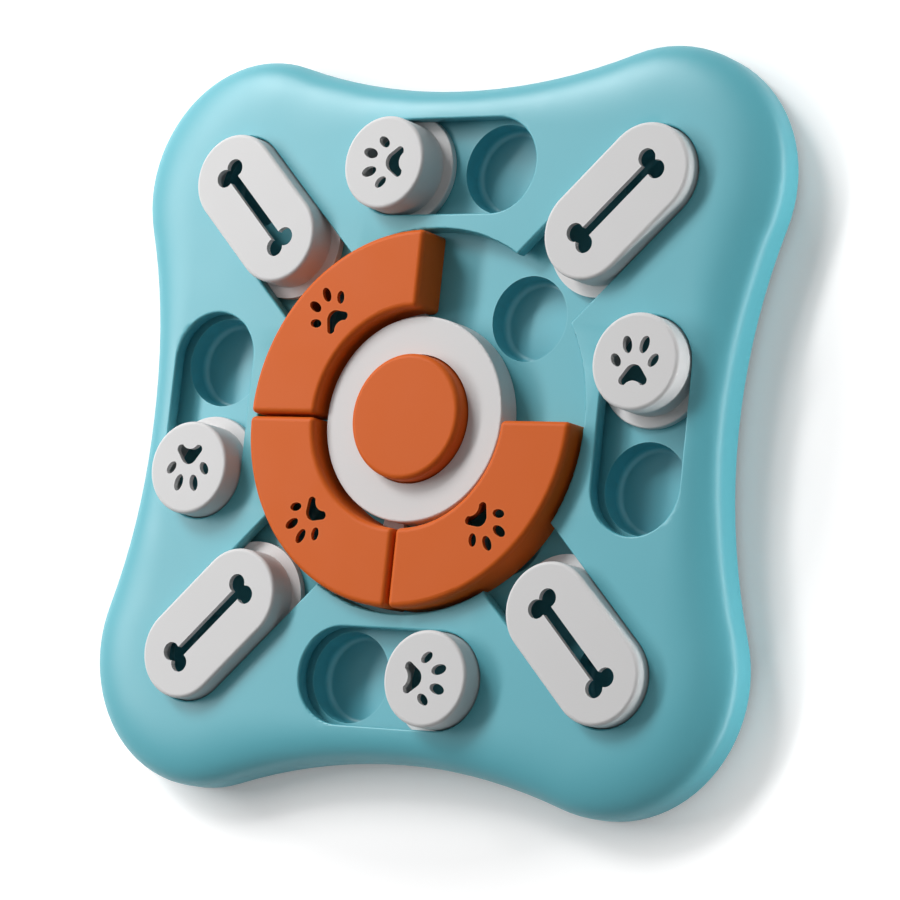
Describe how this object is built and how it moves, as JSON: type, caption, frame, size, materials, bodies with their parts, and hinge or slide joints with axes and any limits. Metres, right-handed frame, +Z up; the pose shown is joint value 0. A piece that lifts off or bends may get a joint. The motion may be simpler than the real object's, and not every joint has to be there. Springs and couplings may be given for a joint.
{
  "type": "dog puzzle feeder",
  "caption": "Pillow-shaped puzzle feeder with wells under sliding paw and bone caps, a turntable of quarter covers over a ring of wells, and a push-button squeaker in the middle.",
  "frame": {"origin": "on the surface the toy rests on, under the middle of the squeaker button", "axes": "+Z up; +Y to the back of the toy and +X to its right, both square to a side of the tray, so the lobes lie on the diagonals"},
  "size_m": [0.2788, 0.2788, 0.0296],
  "materials": {
    "teal_plastic": "satin teal moulding",
    "white_plastic": "satin white moulding",
    "orange_plastic": "satin orange moulding",
    "soft_bellows": "soft translucent vinyl",
    "reed_plastic": "polished white insert",
    "screw_steel": "zinc plated steel",
    "rubber_foot": "matt rubber"
  },
  "bodies": {
    "tray": {"top_shell": "teal_plastic", "lower_tray": "teal_plastic", "case_screws": "screw_steel", "rubber_foot_back_right": "rubber_foot", "rubber_foot_back_left": "rubber_foot", "rubber_foot_front_left": "rubber_foot", "rubber_foot_front_right": "rubber_foot"},
    "turntable": {"turntable_hub": "white_plastic", "sector_cover_back_left": "orange_plastic", "sector_cover_front_left": "orange_plastic", "sector_cover_front_right": "orange_plastic", "cover_screws": "screw_steel", "hub_keeper_plate": "white_plastic", "keeper_screws": "screw_steel", "squeaker_bellows": "soft_bellows", "squeaker_reed": "reed_plastic"},
    "button": {"squeaker_button": "orange_plastic"},
    "bone_back_right": {"bone_slider_back_right": "white_plastic"},
    "bone_back_left": {"bone_slider_back_left": "white_plastic"},
    "bone_front_left": {"bone_slider_front_left": "white_plastic"},
    "bone_front_right": {"bone_slider_front_right": "white_plastic"},
    "paw_back": {"paw_slider_back": "white_plastic"},
    "paw_left": {"paw_slider_left": "white_plastic"},
    "paw_front": {"paw_slider_front": "white_plastic"},
    "paw_right": {"paw_slider_right": "white_plastic"}
  },
  "joints": [
    {"name": "turntable_turn", "type": "hinge", "parent": "tray", "child": "turntable", "pos_m": [0, 0, 0.0128], "axis": [0, 0, 1], "range_deg": [0, 270]},
    {"name": "bone_slide_back_right", "type": "slide", "parent": "tray", "child": "bone_back_right", "axis": [0.7071, 0.7071, 0], "range_m": [-0.036, 0]},
    {"name": "bone_slide_back_left", "type": "slide", "parent": "tray", "child": "bone_back_left", "axis": [-0.7071, 0.7071, 0], "range_m": [-0.0044, 0]},
    {"name": "bone_slide_front_left", "type": "slide", "parent": "tray", "child": "bone_front_left", "axis": [-0.7071, -0.7071, 0], "range_m": [-0.0044, 0]},
    {"name": "bone_slide_front_right", "type": "slide", "parent": "tray", "child": "bone_front_right", "axis": [0.7071, -0.7071, 0], "range_m": [-0.0044, 0]},
    {"name": "paw_slide_back", "type": "slide", "parent": "tray", "child": "paw_back", "axis": [1, 0, 0], "range_m": [0, 0.043]},
    {"name": "paw_slide_left", "type": "slide", "parent": "tray", "child": "paw_left", "axis": [0, 1, 0], "range_m": [0, 0.043]},
    {"name": "paw_slide_front", "type": "slide", "parent": "tray", "child": "paw_front", "axis": [-1, 0, 0], "range_m": [0, 0.043]},
    {"name": "paw_slide_right", "type": "slide", "parent": "tray", "child": "paw_right", "axis": [0, -1, 0], "range_m": [0, 0.043]},
    {"name": "button_press", "type": "slide", "parent": "turntable", "child": "button", "axis": [0, 0, -1], "range_m": [0, 0.003], "stiffness_N_per_m": 600, "deforming": ["squeaker_bellows"]}
  ]
}
